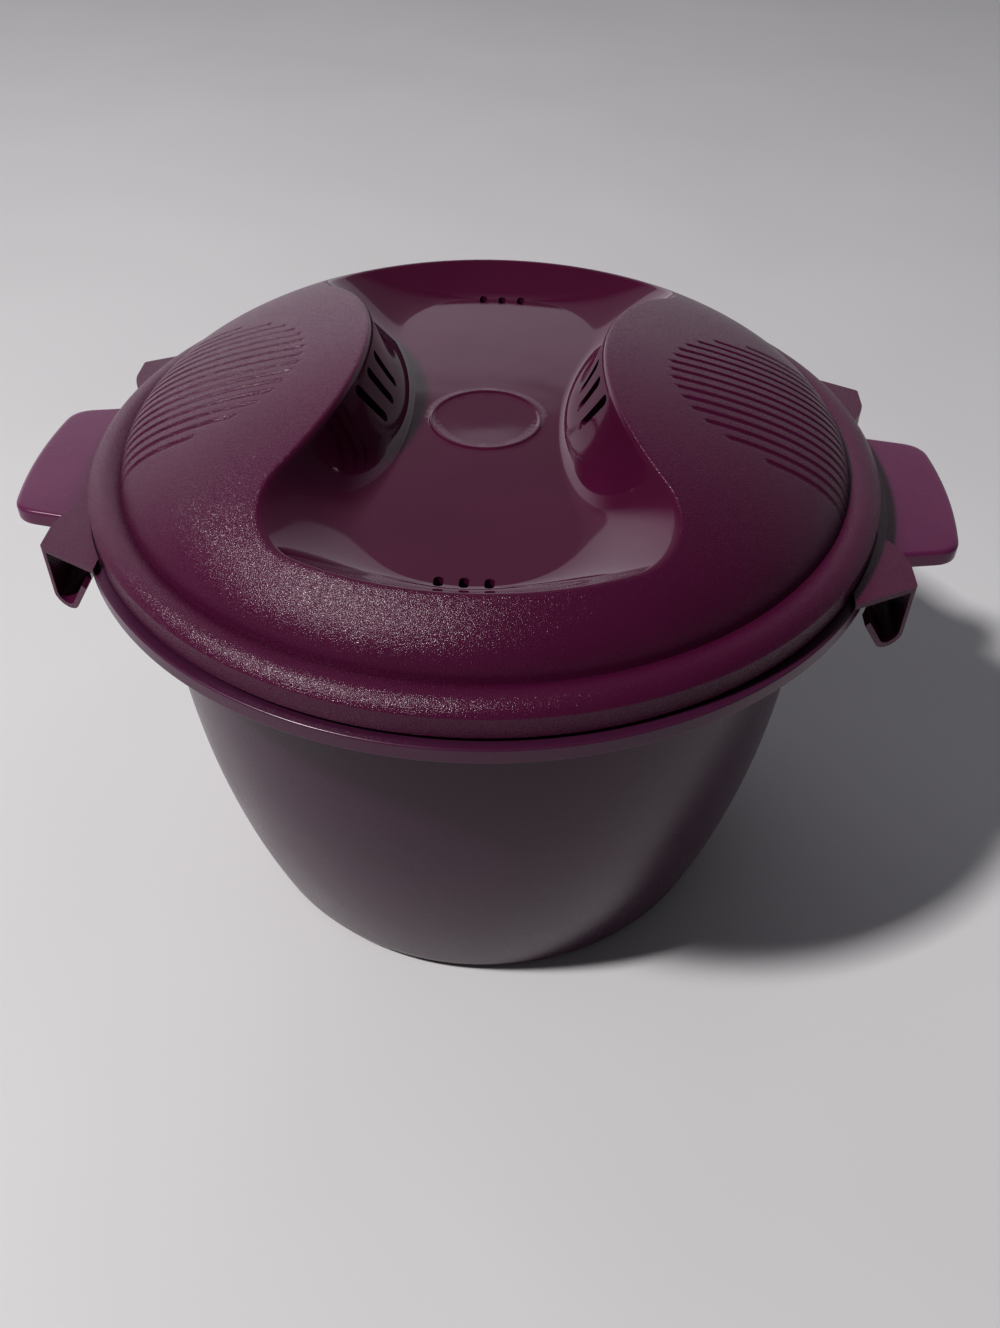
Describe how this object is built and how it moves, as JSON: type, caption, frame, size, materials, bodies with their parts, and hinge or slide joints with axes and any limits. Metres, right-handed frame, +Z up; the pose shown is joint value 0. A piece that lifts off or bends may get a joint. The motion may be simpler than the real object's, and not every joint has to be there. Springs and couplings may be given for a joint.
{
  "type": "microwave rice cooker",
  "caption": "Round plastic cooking pot with side handles, a perforated inner lid and a domed outer lid with a spoon rest, steam vents and flexing lock wings.",
  "frame": {"origin": "centre of the pot's underside, on the surface it stands on", "axes": "+Z up along the pot's axis, -Y to the front, the two handles along -X and +X"},
  "size_m": [0.2852, 0.2416, 0.1881],
  "materials": {
    "pot_plastic": "satin moulded polypropylene, slightly translucent plum",
    "inner_lid_plastic": "satin moulded polypropylene, plum",
    "lid_plastic": "fine-grained matte moulded polypropylene, plum, with a high-gloss spoon rest",
    "wing_plastic": "fine-grained matte moulded polypropylene, plum"
  },
  "bodies": {
    "pot": {"pot": "pot_plastic"},
    "inner_lid": {"inner_lid": "inner_lid_plastic"},
    "outer_lid": {"outer_lid": "lid_plastic"},
    "left_wing": {"left_lock_wing": "wing_plastic"},
    "right_wing": {"right_lock_wing": "wing_plastic"}
  },
  "joints": [
    {"name": "outer_lid_lift", "type": "slide", "parent": "pot", "child": "outer_lid", "axis": [0, 0, 1], "range_m": [0, 0.12]},
    {"name": "inner_lid_lift", "type": "slide", "parent": "pot", "child": "inner_lid", "axis": [0, 0, 1], "range_m": [0, 0.06]},
    {"name": "left_wing_flex", "type": "hinge", "parent": "outer_lid", "child": "left_wing", "pos_m": [-0.1036, 0, 0.1477], "axis": [0, 1, 0], "range_deg": [0, 10], "stiffness_Nm_per_rad": 0.5},
    {"name": "right_wing_flex", "type": "hinge", "parent": "outer_lid", "child": "right_wing", "pos_m": [0.1036, 0, 0.1477], "axis": [0, -1, 0], "range_deg": [0, 10], "stiffness_Nm_per_rad": 0.5}
  ],
  "couplings": [
    {"joint": "inner_lid_lift", "follows": "outer_lid_lift", "ratio": 0.5}
  ]
}
